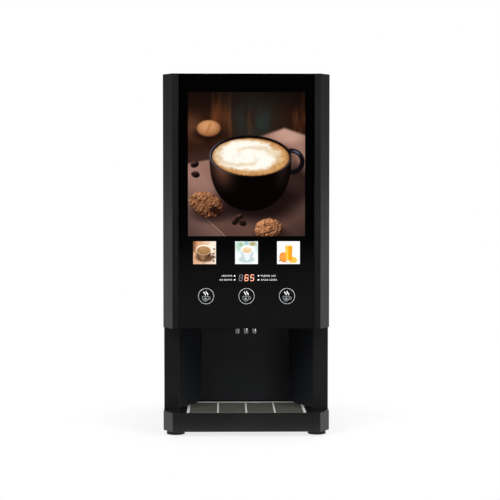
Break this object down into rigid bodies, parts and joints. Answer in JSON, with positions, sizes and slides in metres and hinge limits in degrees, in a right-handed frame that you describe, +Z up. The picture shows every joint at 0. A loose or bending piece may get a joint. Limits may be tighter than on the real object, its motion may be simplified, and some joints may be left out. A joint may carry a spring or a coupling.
{
  "type": "hot coffee vending machine",
  "caption": "Counter-top hot drinks vending machine: hinged front door with lit poster and push buttons, cup bay with nozzles and drip tray, powder canisters and mixers inside.",
  "frame": {"origin": "on the surface it stands on, under the middle of its outline", "axes": "+Z up, -Y out of the front, +X to the right as seen from the front"},
  "size_m": [0.3, 0.4, 0.65],
  "materials": {
    "black_paint": "fine matt black powder coat",
    "black_moulding": "satin black moulded plastic",
    "black_acrylic": "polished, printed black behind",
    "dark_liner": "satin moulded lining",
    "rubber_foot": "matt rubber",
    "chrome": "bright plating",
    "steel": "brushed",
    "brass": "machined",
    "clear_plastic": "translucent moulding",
    "white_plastic": "moulded",
    "silicone_hose": "soft translucent tube",
    "circuit_board": "lacquered circuit board"
  },
  "bodies": {
    "cabinet": {"auger_motor_centre": "steel", "auger_motor_left": "steel", "auger_motor_right": "steel", "base_frame": "black_moulding", "boiler": "steel", "canister_centre": "clear_plastic", "canister_left": "clear_plastic", "canister_right": "clear_plastic", "control_board": "circuit_board", "cup_station_liner": "dark_liner", "drink_hose_centre": "silicone_hose", "drink_hose_left": "silicone_hose", "drink_hose_right": "silicone_hose", "fan_frame": "black_moulding", "foot_front_left": "rubber_foot", "foot_front_right": "rubber_foot", "foot_rear_left": "rubber_foot", "foot_rear_right": "rubber_foot", "inner_chassis": "steel", "left_side_panel": "black_paint", "lock_barrel": "chrome", "mixing_bowl_centre": "clear_plastic", "mixing_bowl_left": "clear_plastic", "mixing_bowl_right": "clear_plastic", "nozzle_block": "white_plastic", "nozzle_centre": "chrome", "nozzle_left": "chrome", "nozzle_right": "chrome", "power_inlet": "black_moulding", "rear_panel": "black_paint", "right_side_panel": "black_paint", "top_cover": "black_paint", "valve_block": "brass", "water_inlet_fitting": "brass", "water_pump": "white_plastic", "whipper_motor_centre": "steel", "whipper_motor_left": "steel", "whipper_motor_right": "steel"},
    "door": {"door_frame": "black_moulding", "door_panel": "black_acrylic", "door_back_plate": "black_paint", "light_box": "white_plastic", "display_board": "circuit_board"},
    "drip_tray": {"drip_tray": "black_moulding", "drip_grate": "chrome"},
    "fan_rotor": {"fan_rotor": "black_moulding"},
    "power_switch": {"power_switch": "black_moulding"},
    "lock_plug": {"lock_plug": "chrome"},
    "drink_button_left": {"drink_button_left": "black_acrylic"},
    "drink_button_centre": {"drink_button_centre": "black_acrylic"},
    "drink_button_right": {"drink_button_right": "black_acrylic"},
    "canister_lid_left": {"canister_lid_left": "white_plastic"},
    "canister_lid_centre": {"canister_lid_centre": "white_plastic"},
    "canister_lid_right": {"canister_lid_right": "white_plastic"},
    "auger_left": {"auger_left": "white_plastic"},
    "auger_centre": {"auger_centre": "white_plastic"},
    "auger_right": {"auger_right": "white_plastic"},
    "whipper_left": {"whipper_left": "white_plastic"},
    "whipper_centre": {"whipper_centre": "white_plastic"},
    "whipper_right": {"whipper_right": "white_plastic"}
  },
  "joints": [
    {"name": "door_hinge", "type": "hinge", "parent": "cabinet", "child": "door", "pos_m": [-0.1445, -0.1555, 0.42], "axis": [0, 0, -1], "range_deg": [0, 110]},
    {"name": "drink_button_left_press", "type": "slide", "parent": "door", "child": "drink_button_left", "axis": [0, 1, 0], "range_m": [0, 0.0015], "stiffness_N_per_m": 400, "springref_m": -0.001},
    {"name": "drink_button_centre_press", "type": "slide", "parent": "door", "child": "drink_button_centre", "axis": [0, 1, 0], "range_m": [0, 0.0015], "stiffness_N_per_m": 400, "springref_m": -0.001},
    {"name": "drink_button_right_press", "type": "slide", "parent": "door", "child": "drink_button_right", "axis": [0, 1, 0], "range_m": [0, 0.0015], "stiffness_N_per_m": 400, "springref_m": -0.001},
    {"name": "drip_tray_slide", "type": "slide", "parent": "cabinet", "child": "drip_tray", "axis": [0, -1, 0], "range_m": [0, 0.15]},
    {"name": "canister_lid_left_lift", "type": "slide", "parent": "cabinet", "child": "canister_lid_left", "axis": [0, 0, 1], "range_m": [0, 0.03]},
    {"name": "canister_lid_centre_lift", "type": "slide", "parent": "cabinet", "child": "canister_lid_centre", "axis": [0, 0, 1], "range_m": [0, 0.03]},
    {"name": "canister_lid_right_lift", "type": "slide", "parent": "cabinet", "child": "canister_lid_right", "axis": [0, 0, 1], "range_m": [0, 0.03]},
    {"name": "auger_left_spin", "type": "hinge", "parent": "cabinet", "child": "auger_left", "pos_m": [-0.094, -0.05, 0.4043], "axis": [0, 1, 0], "continuous": true},
    {"name": "auger_centre_spin", "type": "hinge", "parent": "cabinet", "child": "auger_centre", "pos_m": [0, -0.05, 0.4043], "axis": [0, 1, 0], "continuous": true},
    {"name": "auger_right_spin", "type": "hinge", "parent": "cabinet", "child": "auger_right", "pos_m": [0.094, -0.05, 0.4043], "axis": [0, 1, 0], "continuous": true},
    {"name": "whipper_left_spin", "type": "hinge", "parent": "cabinet", "child": "whipper_left", "pos_m": [-0.094, -0.08, 0.29], "axis": [0, 1, 0], "continuous": true},
    {"name": "whipper_centre_spin", "type": "hinge", "parent": "cabinet", "child": "whipper_centre", "pos_m": [0, -0.08, 0.29], "axis": [0, 1, 0], "continuous": true},
    {"name": "whipper_right_spin", "type": "hinge", "parent": "cabinet", "child": "whipper_right", "pos_m": [0.094, -0.08, 0.29], "axis": [0, 1, 0], "continuous": true},
    {"name": "fan_spin", "type": "hinge", "parent": "cabinet", "child": "fan_rotor", "pos_m": [-0.08, 0.178, 0.56], "axis": [0, 1, 0], "continuous": true},
    {"name": "power_switch_rock", "type": "hinge", "parent": "cabinet", "child": "power_switch", "pos_m": [-0.095, 0.184, 0.1145], "axis": [1, 0, 0], "range_deg": [0, 16]},
    {"name": "lock_turn", "type": "hinge", "parent": "cabinet", "child": "lock_plug", "pos_m": [0.14, -0.13, 0.405], "axis": [-1, 0, 0], "range_deg": [0, 90]}
  ]
}
